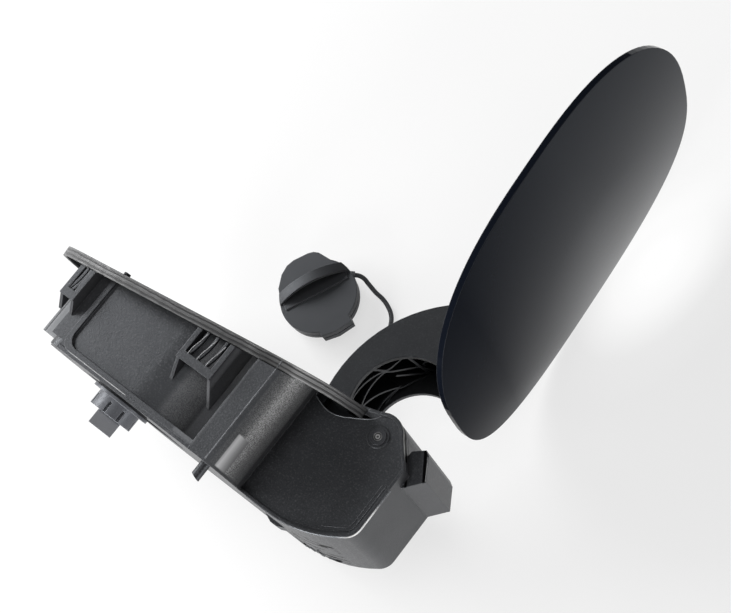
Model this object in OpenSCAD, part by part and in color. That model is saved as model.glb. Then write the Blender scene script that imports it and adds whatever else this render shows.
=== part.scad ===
/* [Mouth and flange] */
// Height of the flange face above the tub floor, over the inlet
mouth_y = 45.7; // [44:0.1:50]
// Slope of the flange along the body side, in degrees
mouth_tilt = 6.5; // [5:0.5:8]
// Crown radius of the flange face, about a line along the mouth
crown_r = 400; // [360:10:500]
// Length of the flange from its centre to the hinge end
flange_right = 101; // [99:0.5:104]
// Length of the flange from its centre to the free end
flange_left = 75.5; // [75:0.5:80]
// Half width of the flange
flange_half = 73.5; // [72:0.5:76]
// Place of the flange centre along the mouth
flange_centre = 9; // [7:0.5:11]
// Thickness of the flange
flange_t = 2.4; // [2:0.1:3]
// Width of the soft seal round the flange
seal_w = 2.6; // [2:0.1:3.4]
// Depth of the soft seal
seal_d = 4.6; // [4:0.1:6]
// Thickness of the skirt of the soft seal
seal_skirt = 1.4; // [1:0.1:1.8]

/* [Tub] */
// Free end of the tub, from the inlet centre
tub_left = 19; // [18:0.5:22]
// Hinge end of the tub, from the inlet centre
tub_right = 82; // [80:0.5:84]
// Half width of the tub
tub_half = 65; // [63:0.5:66]
// Wall thickness of the moulding
wall = 2.5; // [2:0.1:3]
// Thickness of the tub floor
floor_t = 3; // [2.5:0.1:4]
// Radius of the tub corners at the free end
tub_corner = 8; // [5:0.5:12]
// Radius of the tub corners at the hinge end
tub_bend = 48; // [44:1:50]
// Radius of the round lobe at the free end
lobe_r = 34; // [32:0.5:35]
// Place of the lobe centre, from the inlet centre
lobe_x = 20; // [18:0.5:21]
// Height of the raised strips and ribs on the near and far walls
strip_t = 1.2; // [0.8:0.1:1.6]
// Width of the raised strip at the hinge end
strip_w = 10; // [8:0.5:12]
// Width of the rounded border rib
rib_w = 2.6; // [2:0.1:3.2]

/* [Snap clips] */
// Distance of the outer face of the snap clips inside the edge of the flange
clip_inset = 2.1; // [1.5:0.1:4]
// Thickness of the snap clip plates
clip_t = 1.6; // [1.2:0.1:2]

/* [Charging inlet] */
// Diameter of the opening for the charging inlet
inlet_d = 58; // [54:0.5:60]
// Bolt spacing of the inlet along the tub
inlet_bolt_x = 68; // [67:0.5:70]
// Bolt spacing of the inlet across the tub
inlet_bolt_z = 44; // [40:0.5:46]
// Diameter of the inlet bolt holes
inlet_bolt_d = 5.5; // [4.5:0.1:6]
// Section diameter of the ring in the inlet opening
inlet_seal_t = 3; // [2:0.5:4]

/* [Hinge pocket] */
// Place of the hinge axis along the tub
hinge_x = 118; // [117:0.5:119]
// Height of the hinge axis over the tub floor
hinge_y = 50; // [49.5:0.1:50.5]
// Half width of the hinge pocket
pocket_half = 26; // [25.5:0.1:27]
// Radius of the rounded ears about the hinge axis
ear_r = 11; // [10.6:0.1:12]
// Distance from the hinge axis to the end wall of the pocket
pocket_reach = 19; // [18:0.5:21]
// Radius of the lower corner of the pocket
pocket_corner = 8; // [6:0.5:12]
// Radius of the bottom, where it rises towards the end wall
pocket_rise_r = 61.5; // [58:0.5:66]
// Edge of the roof of the pocket, where the arm passes
roof_x = 94.6; // [94:0.1:95.2]

/* [Door] */
// Half length of the door
door_a = 94.6; // [92:0.2:96]
// Half width of the door
door_b = 72.4; // [71:0.2:73]
// Place of the door centre along the mouth
door_centre = -3; // [-4:0.2:-2]
// Height of the outer skin above the flange face
door_rise = 7.2; // [6.8:0.1:8]
// Thickness of the outer skin
skin_t = 1.6; // [1.2:0.1:1.8]
// Thickness of the inner panel
panel_t = 1.6; // [1.2:0.1:1.8]
// Angle from shut to fully open, in degrees
open_angle = 92.7; // [85:0.1:93]

/* [Door arm] */
// Half width of the gooseneck arm
arm_half = 18.5; // [17.5:0.1:19]
// Thickness of the arm side plates
arm_wall = 2.4; // [1.8:0.1:3]
// Radius of the outer curve of the arm
arm_outer_r = 63.4; // [62:0.1:64]
// Radius of the inner curve of the arm
arm_inner_r = 25; // [24.6:0.1:25.4]
// Radius of the arm boss about the hinge pin
arm_boss_r = 8.4; // [7.5:0.1:8.6]
// Thickness of the crossed ribs
lattice_t = 1.2; // [0.8:0.1:1.6]
// Depth of the crossed ribs
lattice_depth = 14; // [10:0.5:16]

/* [Hinge pin and spring] */
// Diameter of the hinge pin
pin_d = 4; // [3:0.1:5]
// Radial running clearance of the pin in its bushes
pin_clear = 0.04; // [0.02:0.01:0.08]
// Outer diameter of the bush barrels
bush_d = 6; // [5.8:0.1:6.4]
// Diameter of the bush flanges
bush_flange_d = 7.6; // [7:0.1:9]
// Wire diameter of the torsion spring
spring_wire = 1.2; // [0.8:0.1:1.4]
// Mean radius of the spring coil
spring_r = 6.6; // [6:0.1:7.4]

/* [Lock] */
// Height of the lock bolt axis over the tub floor
lock_y = 21; // [20:0.5:22]
// Outer width of the lock case
lock_w = 12.6; // [12:0.1:13]
// Outer height of the lock case
lock_h = 30.4; // [29:0.2:31]
// Far end of the lock case
lock_z0 = -45; // [-47:0.5:-44]
// Near end of the lock case
lock_z1 = 6; // [5.5:0.5:7]
// Wall thickness of the lock case
lock_wall = 1.6; // [1.2:0.1:1.8]
// Diameter of the lock bolt
bolt_d = 4; // [3.6:0.1:4.4]
// Travel of the lock bolt
bolt_travel = 8; // [7:0.5:8]
// Diameter of the lead screw
screw_d = 2; // [1.6:0.1:2.2]
// Thickness of the door striker
striker_t = 3; // [2.5:0.1:3.5]

/* [Indicator lamp] */
// Place of the lamp along the tub
lamp_x = 21; // [20:0.5:22]
// Distance of the lamp's centre inside the near wall of the tub
lamp_inset = 18; // [17.5:0.1:19]
// Diameter of the lamp base
lamp_base_d = 28; // [26:0.5:29]
// Diameter of the spring-slotted collar
lamp_collar_d = 21; // [20:0.5:23]
// Depth of the collar behind the floor
lamp_collar_h = 7; // [6:0.5:9]
// Width of the square plug
lamp_plug_w = 11.5; // [9:0.5:12]
// Depth of the square plug behind the collar
lamp_plug_h = 7; // [6:0.5:9]

/* [Dust cap] */
// Place of the cap along X where it lies
cap_x = 3.6; // [3:0.1:4.2]
// Place of the cap along Y where it lies
cap_y = 100.6; // [100:0.1:101]
// Diameter of the cap disc
cap_d = 41.2; // [40:0.2:42]
// Thickness of the cap disc
cap_t = 3; // [2.5:0.1:4]
// Diameter of the cap plug
cap_plug_d = 30; // [28:0.5:32]
// Depth of the cap plug
cap_plug_h = 11; // [10:0.5:12]
// Height of the arched grip
cap_grip_h = 8; // [6:0.5:9]
// Width of the arched grip
cap_grip_t = 5.4; // [4:0.1:6]
// Turn of the grip about the cap axis, in degrees
cap_turn = 62; // [55:1:70]

/* [Tether] */
// Diameter of the tether
tether_d = 2.4; // [2:0.1:3]

/* [Hidden] */
$fn = 96;

// Corners in an outline that follows a superellipse
outline_n = 96;
// Roundness of the flange and door outlines
flange_n = 2.5;
door_n = 2.7;
// Edge of the flange inside its soft seal
flange_tongue = 0.6;
// Gap under the door panel over the flange face
door_gap = door_rise - skin_t - panel_t;
// Height of the surface that the object lies on
table_z = -flange_half;
// Running gap between neighbours on different bodies
gap = 0.3;
// Reach of cuts that pass right through the crowned sheets
far_cut = 20;
// Centre of the lamp across the tub
lamp_z = tub_half - lamp_inset;

// End wall of the pocket
pocket_end = hinge_x + pocket_reach;
// Pocket walls across the hinge axis
pocket_in = pocket_half - wall;
// Mouth height at a place along X, on the crown line
function mouth_at(x) = mouth_y + x * tan(mouth_tilt);

// Lock places: the case hangs beside the lobe, and the striker swings past the seal into it
lock_x1 = -lobe_x - lobe_r - gap;
lock_x0 = lock_x1 - lock_w;
lock_x = lock_x1 - 5.1;
lock_top = 31;
striker_w = 5.6;
striker_r = hinge_x - flange_centre + flange_left - seal_w - striker_w / 2 - 0.9;
striker_z0 = -5;
striker_z1 = striker_z0 + striker_t;
striker_hook = bolt_d + 0.6;
striker_low = lock_y - striker_hook / 2 - 1.8;
bolt_tip = striker_z0 - 1;
bolt_clear = 0.06;
bolt_len = 18;
guide_z0 = striker_z0 - 7;
key_w = 1.6;
key_h = 1;
motor_d = 9;
motor_flat = 6.6;
motor_len = 12;
motor_z0 = bolt_tip - bolt_len - motor_len - 1;
spindle_len = bolt_len - 4;
lock_head_d = 5;
lock_screw_d = 2.6;
lock_screw_x = lock_x1 - 3;
lock_screw_z = [-28, lock_z1 - 3];
lock_screw_depth = 4.6;
function lock_screw_seat(z) = mouth_at(lock_screw_x) - crown_drop(z) / cos(mouth_tilt) - 1.8;

// Underside of the cap's disc, whose plug stands on the table
cap_z = table_z + cap_plug_h;

// Route of the tether: from the cap rim over the table, over the flange edge and into the tub
TETHER = [[11.9, 120.3, -61.6], [13.1, 121.2, -62.2], [15.5, 121.9, -63.8], [19.3, 121.1, -66.4],
          [24.1, 120, -68.6], [28.5, 119.5, -70.4], [32.9, 117.9, -71.6], [36.9, 115.3, -72.2],
          [39.6, 111.9, -72.3], [41.8, 106.8, -72.3], [45, 98.5, -72.1], [49.5, 88, -71.2],
          [53.5, 77, -68.8], [56.5, 66, -64.5], [58.5, 57, -59], [59.5, 49, -53.5], [60, 40, -48],
          [60, 30, -44], [60, 20, -41], [60, 12, -40], [60, 7, -40]];

// Solid from a plan outline in X and Z, between two heights along Y
module plan(y0, y1) {
    translate([0, y1, 0])
        rotate([90, 0, 0])
            linear_extrude(y1 - y0)
                children();
}

// Solid from a side outline in X and Y, between two depths along Z
module side(z0, z1) {
    translate([0, 0, z0])
        linear_extrude(z1 - z0)
            children();
}

// Frame of the mouth: X along the mouth, Y out of it
module mouth() {
    translate([0, mouth_y, 0])
        rotate([0, 0, mouth_tilt])
            children();
}

// Everything under the crowned surface that lies this far above the flange face
module under_crown(rise) {
    mouth()
        translate([-300, -crown_r, 0])
            rotate([0, 90, 0])
                cylinder(r = crown_r + rise, h = 600, $fn = 360);
}

// Outline with soft corners, longer to one side than to the other
module superellipse(right, left, half, n) {
    polygon([for (i = [0:outline_n - 1])
        let (c = cos(360 * i / outline_n), s = sin(360 * i / outline_n))
        [(c > 0 ? right : left) * sign(c) * pow(abs(c), 2 / n), half * sign(s) * pow(abs(s), 2 / n)]]);
}

// Crowned sheet with the flange outline, between two heights over the flange face
module flange_sheet(inset, low, high) {
    intersection() {
        mouth()
            translate([flange_centre, 0, 0])
                plan(-30, 20)
                    superellipse(flange_right - inset, flange_left - inset, flange_half - inset, flange_n);
        difference() {
            under_crown(high);
            under_crown(low);
        }
    }
}

// Crowned sheet with the door outline, in the shut position
module door_sheet(inset, low, high) {
    intersection() {
        mouth()
            translate([door_centre, 0, 0])
                plan(-30, 30)
                    superellipse(door_a - inset, door_a - inset, door_b - inset, door_n);
        difference() {
            under_crown(high);
            under_crown(low);
        }
    }
}

// Turns what is drawn in the shut position to the open one
module opened() {
    translate([hinge_x, hinge_y, 0])
        rotate([0, 0, -open_angle])
            translate([-hinge_x, -hinge_y, 0])
                children();
}

// Tub plan, drawn in by an inset
module tub_plan(inset) {
    for (s = [-1, 1]) {
        translate([-tub_left + tub_corner, s * (tub_half - tub_corner)])
            circle(r = tub_corner - inset);
        translate([tub_right - tub_bend, s * (tub_half - tub_bend)])
            circle(r = tub_bend - inset);
    }
    translate([-tub_left + inset, -tub_half + tub_corner])
        square([tub_left + tub_right - tub_bend - inset, 2 * (tub_half - tub_corner)]);
    translate([-tub_left + tub_corner, -tub_half + inset])
        square([tub_left + tub_right - tub_corner - tub_bend, 2 * (tub_half - inset)]);
    translate([0, -tub_half + tub_bend])
        square([tub_right - inset, 2 * (tub_half - tub_bend)]);
    translate([-lobe_x, 0])
        circle(r = lobe_r - inset);
}

// Channel at each hinge end corner, its outer side slightly curved, drawn in by an inset
module channel_plan(inset) {
    top = tub_half + strip_t;
    x0 = tub_right - strip_w + inset;
    for (s = [-1, 1])
        intersection() {
            translate([x0, s > 0 ? 20 : inset - top])
                square([strip_w + 6, top - 20 - inset]);
            translate([tub_right + 2.5 - channel_r, s * (top - 20)])
                circle(r = channel_r - inset, $fn = 240);
        }
}

// Points of an arc about a centre, between two angles
function arc(c, r, a0, a1, n) = [for (i = [0:n])
    let (a = a0 + (a1 - a0) * i / n)
    c + r * [cos(a), sin(a)]];

// Place where the bottom of the pocket starts to rise
pocket_rise_x = hinge_x - 20;
// Side profile of the hinge pocket, drawn in by an inset
module pocket_profile(inset, left) {
    rise = [pocket_rise_x, pocket_rise_r - floor_t];
    swing = pocket_rise_r - pocket_corner;
    turn = -acos((pocket_end - pocket_corner - rise[0]) / swing);
    corner = rise + swing * [cos(turn), sin(turn)];
    ear = [hinge_x, hinge_y];
    polygon(concat(
        [[left, -floor_t + inset]],
        arc(rise, pocket_rise_r - inset, -90, turn, 8),
        arc(corner, pocket_corner - inset, turn, 0, 8),
        [[pocket_end - inset, hinge_y - 5]],
        arc(ear, ear_r - inset, 30, 115, 10),
        [[left, hinge_y - 1 - inset]]));
}

spring_turns = 2.5;
spring_z = -pocket_in + 0.3 + spring_wire / 2;
spring_slot = 2;
spring_post_y = hinge_y - 16;
// Spigot that carries the coil of the spring, and the post of its fixed leg
module spring_seat() {
    translate([hinge_x, hinge_y, -pocket_in - 0.1])
        cylinder(r = spring_r - spring_wire / 2 - 0.2, h = pocket_in - arm_half - 0.4);
    translate([hinge_x + spring_r + spring_wire / 2 + 1.6, spring_post_y, -pocket_in - 0.1])
        cylinder(r = 1.6, h = 3);
}

// Mould marks, each from a place along X, with a width and two depths
MARKS = [[101, 1.2, -24, -17], [104.4, 1.2, -23, -18], [107.6, 4, -20.4, -19.2], [109, 1.2, -24, -15],
         [113, 6, -22.6, -21.4]];
mark_t = 0.5;

bulge_near = 19;
bulge_far = 24;
// End block behind the pocket, a hollow bulge of its end wall
module bulge_profile(inset) {
    polygon([[pocket_end - 6, hinge_y - 12 + inset], [pocket_end + 0.5, hinge_y - 11 + inset],
             [pocket_end + 7.5 - inset, hinge_y - 3], [pocket_end + 1.5 - inset / 2, hinge_y + 6.5 - inset],
             [pocket_end - 1, hinge_y + 8 - inset], [pocket_end - 6, hinge_y + 4]]);
}

// Dip in the top edge of each pocket wall, between the tub and the ear
module pocket_dip() {
    edge = [[-32, 48], [-28, 47], [-24, 47], [-20, 48], [-16, 49.9], [-12, 52], [-8, 54.4],
            [-5.5, 56.8], [-3.8, 58.8], [-2, 70]];
    polygon(concat([[tub_right + 0.4, 49.4]], [for (p = edge) [hinge_x + p[0], p[1]]],
                   [[tub_right + 0.4, 70]]));
}

// Rounded border rib of the near and far walls, in side view
module border_outline(inset) {
    r = 6;
    x = -10 + inset;
    y = -1.5 + inset;
    translate([x + r, y + r])
        circle(r = r);
    translate([x, y + r])
        square([tub_right - strip_w - x, 60]);
    translate([x + r, y])
        square([tub_right - strip_w - x - r, 60]);
}

// Wavy spring finger of a snap clip, in side view
module finger(h, w, lean) {
    k = 12;
    polygon(concat(
        [for (i = [0:k]) [lean * i / k - w / 2 + 0.9 * sin(300 * i / k), h * i / k]],
        [for (i = [k:-1:0]) [lean * i / k + w / 2 + 0.9 * sin(300 * i / k), h * i / k]]));
}

// Outer face of the near wall at a place along X
function wall_z(x) = x < tub_right - tub_bend ? tub_half
    : tub_half - tub_bend + sqrt(pow(tub_bend, 2) - pow(x - tub_right + tub_bend, 2));
clip_out = flange_half - clip_inset;
clip_spans = [[-24, -15.5], [43, 63]];
// Snap clip on the near wall: front plate with wavy fingers between two gussets
module clip(x0, x1, low, tip, fingers) {
    top = mouth_at((x0 + x1) / 2);
    slot_low = low + 4;
    difference() {
        side(clip_out - clip_t, clip_out)
            translate([x0, low])
                square([x1 - x0, top - low]);
        side(clip_out - clip_t - 1, clip_out + 1)
            translate([x0 + 2.4, slot_low])
                square([x1 - x0 - 4.8, top - slot_low + 1]);
    }
    for (i = [1:fingers])
        side(clip_out - clip_t, clip_out - 0.3)
            translate([x0 + 2.4 + (x1 - x0 - 4.8) * (i - 0.5) / fingers - 1, slot_low - 0.5])
                finger(top - slot_low + 0.5, 1.3, 2.4);
    for (x = [x0, x1 - clip_t])
        translate([x, 0, 0])
            rotate([0, -90, 0])
                translate([0, 0, -clip_t])
                    linear_extrude(clip_t)
                        polygon([[wall_z(x) - 0.5, tip], [clip_out - 1, low], [clip_out - 1, top],
                                 [wall_z(x) - 0.5, top]]);
}

// Clips, strips and ribs of one side wall
module wall_dress() {
    intersection() {
        union() {
            clip(clip_spans[0][0], clip_spans[0][1], 16.5, 11, 2);
            clip(clip_spans[1][0], clip_spans[1][1], 24, 15, 3);
            side(tub_half - 1, tub_half + strip_t)
                difference() {
                    border_outline(0);
                    border_outline(rib_w);
                    translate([tub_right - tub_bend, rib_w - 1.5])
                        square([80, 80]);
                }
            side(tub_half - 10, tub_half)
                translate([-tub_left + 1, 1])
                    square([12, 60]);
        }
        under_crown(-flange_t);
    }
}

lamp_barrel_d = 18;
lamp_base_t = 1.4;
lamp_seal_t = 1;
// Turn of the lamp about its axis, in degrees
lamp_turn = 33;

ledge_t = 2;
channel_r = 70;
drain_d = 4.5;
drain_len = 7.8;
drain_x = 77;
drain_z = 55;
module drain_spout() {
    difference() {
        plan(-floor_t - drain_len, -floor_t + 0.1)
            translate([drain_x, drain_z])
                circle(d = drain_d);
        translate([drain_x + drain_d / 2, -floor_t - drain_len, drain_z])
            rotate([0, 0, -20])
                translate([-10, -8, -5])
                    cube([12, 8, 10]);
    }
}

lock_rib_gap = 26;
// Ribs under the flange that the lock case is screwed against, kept inside the soft seal
module lock_pad() {
    intersection() {
        difference() {
            plan(lock_top, 60)
                translate([lock_x0 + 0.4, lock_z0])
                    square([lock_w - 0.8, lock_z1 - lock_z0]);
            plan(lock_top - 1, 70)
                translate([lock_x0 + lock_wall, lock_screw_z[0] + lock_head_d / 2 + 1])
                    square([lock_w - 2 * lock_wall, lock_rib_gap]);
        }
        mouth()
            translate([flange_centre, 0, 0])
                plan(-30, 10)
                    superellipse(flange_right, flange_left - seal_w, flange_half - seal_w, flange_n);
        under_crown(-flange_t / 2);
    }
}

// Slot in the flange for the striker, about the hinge axis
module striker_slot() {
    translate([hinge_x, hinge_y, 0])
        side(striker_z0 - 1, striker_z1 + 1)
            difference() {
                circle(r = striker_r + striker_w / 2 + 0.4, $fn = 180);
                circle(r = striker_r - striker_w / 2 - 0.4, $fn = 180);
                translate([-150, -300])
                    square([400, 600]);
                translate([-300, -300])
                    square([400, 300 - hinge_y + lock_top + 0.1]);
            }
}

anchor_x = 60;
anchor_z = -40;
anchor_hole = 4;
anchor_boss = 5;

module housing() color("#2b2c2e") {
    difference() {
        union() {
            flange_sheet(seal_w, -flange_t, 0);
            intersection() {
                plan(-floor_t, 70) {
                    tub_plan(0);
                    channel_plan(0);
                }
                under_crown(-flange_t / 2);
            }
            plan(-floor_t, -floor_t + ledge_t)
                translate([-tub_left + tub_corner, -tub_half - 0.6])
                    square([tub_left + tub_right - tub_corner - 2, 2 * tub_half + 1.2]);
            wall_dress();
            mirror([0, 0, 1])
                wall_dress();
            intersection() {
                side(-pocket_half, pocket_half)
                    union() {
                        pocket_profile(0, tub_right - 10);
                        translate([tub_right - 10, hinge_y - 10])
                            square([hinge_x - tub_right + 4, 20]);
                    }
                union() {
                    under_crown(-flange_t / 2);
                    side(-pocket_half, pocket_half)
                        pocket_profile(0, tub_right - 10);
                }
            }
            side(pocket_half - 0.1, pocket_half + 0.9)
                difference() {
                    pocket_profile(0, tub_right - 2);
                    pocket_profile(1.4, tub_right - 3);
                    translate([tub_right - 3, hinge_y - 9])
                        square([28, 20]);
                }
            side(-bulge_far, bulge_near)
                bulge_profile(0);
            // Small lug and plain mould marks on the underside
            side(-20, -14)
                polygon([[78, -floor_t + 0.1], [83, -4.8], [87, -4.6], [91, -floor_t + 0.1]]);
            for (mark = MARKS)
                side(mark[2], mark[3])
                    intersection() {
                        difference() {
                            pocket_profile(-mark_t, tub_right - 2);
                            pocket_profile(mark_t, tub_right - 3);
                        }
                        translate([mark[0], -6])
                            square([mark[1], 14]);
                    }
            translate([hinge_x, hinge_y, pocket_half - 1])
                cylinder(d = bush_flange_d + 2.4, h = 1.5);
            lock_pad();
            drain_spout();
        }
        seal_room();
        // Room inside the tub, up through the flange
        plan(0, 90) {
            tub_plan(wall);
            channel_plan(wall);
        }
        // Room inside the pocket, and the passage of the arm beside the roof
        side(-pocket_in, pocket_in)
            pocket_profile(wall, tub_right - 10);
        side(-pocket_in, pocket_in)
            translate([tub_right - 8, 20])
                square([roof_x - tub_right + 8, 50]);
        intersection() {
            side(-pocket_in, pocket_in)
                translate([tub_right - 8, 20])
                    square([hinge_x - tub_right, 50]);
            under_crown(-flange_t);
        }
        side(-bulge_far + wall, bulge_near - wall)
            bulge_profile(wall);
        for (z = [-pocket_half - 2, pocket_in - 0.1])
            intersection() {
                side(z, z + wall + 2.1)
                    pocket_dip();
                under_crown(-flange_t);
            }
        // Charging inlet and its bolts
        plan(-floor_t - 1, 1)
            circle(d = inlet_d + 2 * inlet_seal_t - 2);
        for (x = [-1, 1])
            for (z = [-1, 1])
                plan(-floor_t - 1, 1)
                    translate([x * inlet_bolt_x / 2, z * inlet_bolt_z / 2])
                        circle(d = inlet_bolt_d);
        // Lamp and drain
        plan(-floor_t - 1, 1)
            translate([lamp_x, lamp_z])
                circle(d = lamp_barrel_d + 2 * gap);
        plan(-floor_t - 30, 1)
            translate([drain_x, drain_z])
                circle(d = drain_d - 2);
        // Hinge bushes
        translate([hinge_x, hinge_y, -pocket_half - 2])
            cylinder(d = bush_d, h = 2 * pocket_half + 4);
        // Striker slot and lock screws
        striker_slot();
        for (z = lock_screw_z) {
            plan(lock_top - 1, 60)
                translate([lock_screw_x, z])
                    circle(d = lock_screw_d + 0.2);
            plan(lock_screw_seat(z), 60)
                translate([lock_screw_x, z])
                    circle(d = lock_head_d + gap);
        }
        // Seats of the bump stops
        bump_stop_seats();
    }
    flange_edge();
    plan(-0.1, anchor_boss)
        translate([anchor_x, anchor_z])
            difference() {
                circle(d = anchor_hole + 3);
                circle(d = anchor_hole);
            }
    difference() {
        spring_seat();
        translate([hinge_x, hinge_y, -pocket_half])
            cylinder(d = bush_d, h = wall + 0.6);
        translate([hinge_x, hinge_y, -pocket_half - 2])
            cylinder(d = pin_d + 1.2, h = pocket_half);
    }
}

bump_x = -17.6;
bump_z = 50;
bump_d = 3.2;
function crown_drop(z) = crown_r - sqrt(pow(crown_r, 2) - pow(z, 2));
module bump_stop_seats() {
    for (z = [-bump_z, bump_z])
        mouth()
            translate([bump_x, -crown_drop(bump_z), z])
                plan(-6, 4)
                    circle(d = bump_d - 1);
}

module bump_stops() color("#121212") {
    for (z = [-bump_z, bump_z])
        mouth()
            translate([bump_x, -crown_drop(bump_z), z]) {
                plan(0.4, 1.6)
                    circle(d = bump_d);
                plan(-4.2, 0.5)
                    circle(d = bump_d - 1);
            }
}

// Stretch of the flange edge that the hinge pocket interrupts
module pocket_gate() {
    side(-pocket_half - gap, pocket_half + gap)
        translate([roof_x - 10, 0])
            square([60, 80]);
}

// Room round the flange edge that the soft seal takes up
module seal_room() {
    difference() {
        flange_sheet(-6, -seal_d - gap, 6);
        flange_sheet(seal_w, -far_cut, far_cut);
        pocket_gate();
    }
}

// Edge of the flange that the soft seal is pushed over
module flange_edge() {
    difference() {
        flange_sheet(flange_tongue, -flange_t, -flange_t + 1);
        flange_sheet(seal_w + 0.2, -far_cut, far_cut);
        pocket_gate();
    }
}

// Soft seal round the flange, open at the hinge pocket
module rim_seal() color("#3a3b3d") {
    difference() {
        flange_sheet(0, -seal_d, 0);
        flange_sheet(seal_w, -flange_t, far_cut);
        flange_sheet(seal_skirt, -far_cut, -flange_t);
        flange_sheet(flange_tongue, -flange_t, -flange_t + 1);
        pocket_gate();
    }
}

module inlet_seal() color("#161616") {
    difference() {
        union() {
            plan(-floor_t, 0)
                circle(d = inlet_d + 2 * inlet_seal_t - 2);
            plan(0, 1.5)
                circle(d = inlet_d + 2 * inlet_seal_t);
        }
        plan(-floor_t - 1, 3)
            circle(d = inlet_d);
    }
}

module hinge_pin() color("silver") {
    translate([hinge_x, hinge_y, -pocket_half - 1.2])
        cylinder(d = pin_d, h = 2 * pocket_half + 2.2);
    translate([hinge_x, hinge_y, -pocket_half - 2.6])
        cylinder(d = pin_d + 3, h = 1.5);
}

// Flanged bush in a pocket wall, its flange outside
module bush() {
    difference() {
        union() {
            translate([hinge_x, hinge_y, pocket_in])
                cylinder(d = bush_d, h = wall + 0.5);
            translate([hinge_x, hinge_y, pocket_half + 0.5])
                cylinder(d = bush_flange_d, h = 0.6);
        }
        translate([hinge_x, hinge_y, pocket_in - 1])
            cylinder(r = pin_d / 2 + pin_clear, h = wall + 4);
    }
}

module bush_near() color("#222222") bush();

module bush_far() color("#222222")
    mirror([0, 0, 1])
        translate([0, 0, -0.5])
            bush();

arm_outer_c = [25, 17];
arm_inner_c = [-2, 16];
arm_far_c = [-3.3, 13.5];
arm_far_r = 22.3;
// Side view of the arm, with the hinge axis at the origin and the door open, the inner curve about a centre
module arm_outline(inner_c, inner_r) {
    polygon(concat(
        [[2, -7], [-22, -12.5]],
        arc([-27, -7.5], 5, -90, -160, 4),
        arc(arm_outer_c, arm_outer_r, 200, 100, 20),
        [[18, 79], [18, 36]],
        arc(inner_c, inner_r, 60, 192, 20),
        [[-25, 5], [-22, 2], [-6, 3]]));
    circle(r = arm_boss_r);
}

// The hollow between the side plates, inside the outer wall
module arm_hollow() {
    intersection() {
        polygon(concat(
            arc(arm_outer_c, arm_outer_r - arm_wall, 196, 112, 20),
            [[-2, 20]],
            [[-24, 2]]));
        polygon([[-60, -6], [-3, -6], [4.6, 10], [1, 90], [-60, 90]]);
    }
}

// Ribs between the side plates, each from one angle and depth to another
LATTICE = [[193, 16.5, 168, 9.5], [188.5, 3, 168, 9.5], [188.5, 3, 168, -12], [191, -16.5, 168, -12],
           [172, 16.5, 168, 9.5], [168, 9.5, 155, 12], [168, 9.5, 151, -7], [155, 12, 150, -16.5],
           [155, 12, 146, 16.5], [151, -7, 146, -16.5], [168, -12, 152, -16.5], [164, 0, 152, -14],
           [177, -16.5, 168, -12], [151, -7, 130, 16.5], [148, 16.5, 126, -16.5]];
module arm_lattice() {
    mid_r = arm_outer_r - lattice_depth / 2;
    for (rib = LATTICE) {
        along = (rib[2] - rib[0]) * mid_r * PI / 180;
        across = rib[3] - rib[1];
        length = norm([along, across]);
        translate([arm_outer_c[0], arm_outer_c[1], 0])
            rotate([0, 0, (rib[0] + rib[2]) / 2])
                translate([arm_outer_r - lattice_depth, 0, (rib[1] + rib[3]) / 2])
                    rotate([atan2(across, along), 0, 0])
                        translate([0, -length / 2 - lattice_t / 2, -lattice_t / 2])
                            cube([lattice_depth, length + lattice_t, lattice_t]);
    }
}

module door_arm() color("#1b1b1c") {
    difference() {
        intersection() {
            translate([hinge_x, hinge_y, 0]) {
                side(-arm_half, arm_half)
                    arm_outline(arm_inner_c, arm_inner_r);
                side(-arm_half, -arm_half + arm_wall)
                    arm_outline(arm_far_c, arm_far_r);
            }
            opened()
                under_crown(door_gap);
        }
        difference() {
            translate([hinge_x, hinge_y, 0])
                side(-arm_half + arm_wall, arm_half - arm_wall)
                    arm_hollow();
            translate([hinge_x, hinge_y, 0])
                arm_lattice();
        }
        translate([hinge_x, hinge_y, -arm_half - 1])
            cylinder(d = pin_d, h = 2 * arm_half + 2);
        arm_screw_shafts(arm_screw_seat, 8, gap);
        // Slot that the moving leg of the spring runs in
        translate([hinge_x, hinge_y, 0])
            side(-arm_half - 1, -arm_half + spring_slot)
                difference() {
                    circle(r = spring_r + spring_wire / 2 + gap);
                    circle(r = spring_r - spring_wire / 2 - gap);
                    polygon([[0, 0], [0.3, 40], [40, 40], [40, -40], [-40, -40], [-40, -12]]);
                }
    }
}

arm_screw_seat = -2.8;
arm_screw_d = 4;
arm_screw_r = [65, 77];
arm_screw_z = 9;
// Screws from the hollow of the arm through its pad into the inner panel
module arm_screw_shafts(seat, head, room) {
    for (r = arm_screw_r)
        for (z = [-arm_screw_z, arm_screw_z])
            opened()
                mouth()
                    translate([hinge_x - r, 0, z]) {
                        plan(seat - 0.1, door_gap + panel_t - 0.3)
                            circle(d = arm_screw_d);
                        if (head > 0)
                            plan(seat - head, seat)
                                circle(d = arm_screw_d + 3.4 + 2 * room);
                    }
}

module arm_screws() color("silver") arm_screw_shafts(arm_screw_seat, 1.8, 0);

module door_inner() color("#151516") {
    difference() {
        opened()
            door_sheet(1.4, door_gap, door_gap + panel_t);
        arm_screw_shafts(arm_screw_seat, 0, 0);
        striker_screw_shafts(0);
    }
}

module door_skin() color("#0b0b0c") {
    opened() {
        door_sheet(0, door_gap + panel_t, door_rise);
        difference() {
            door_sheet(0, door_gap + 0.3, door_gap + panel_t + 0.2);
            door_sheet(1.4, 0, door_gap + panel_t);
        }
    }
}

striker_pad = 2;
striker_screw_d = 2.6;
striker_screw_z = [-13.5, -8];
foot_w = 6;
foot_z0 = -16;
foot_z1 = 0;
foot_x_shut = -60.6;
foot_x = foot_x_shut * cos(mouth_tilt);
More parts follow.
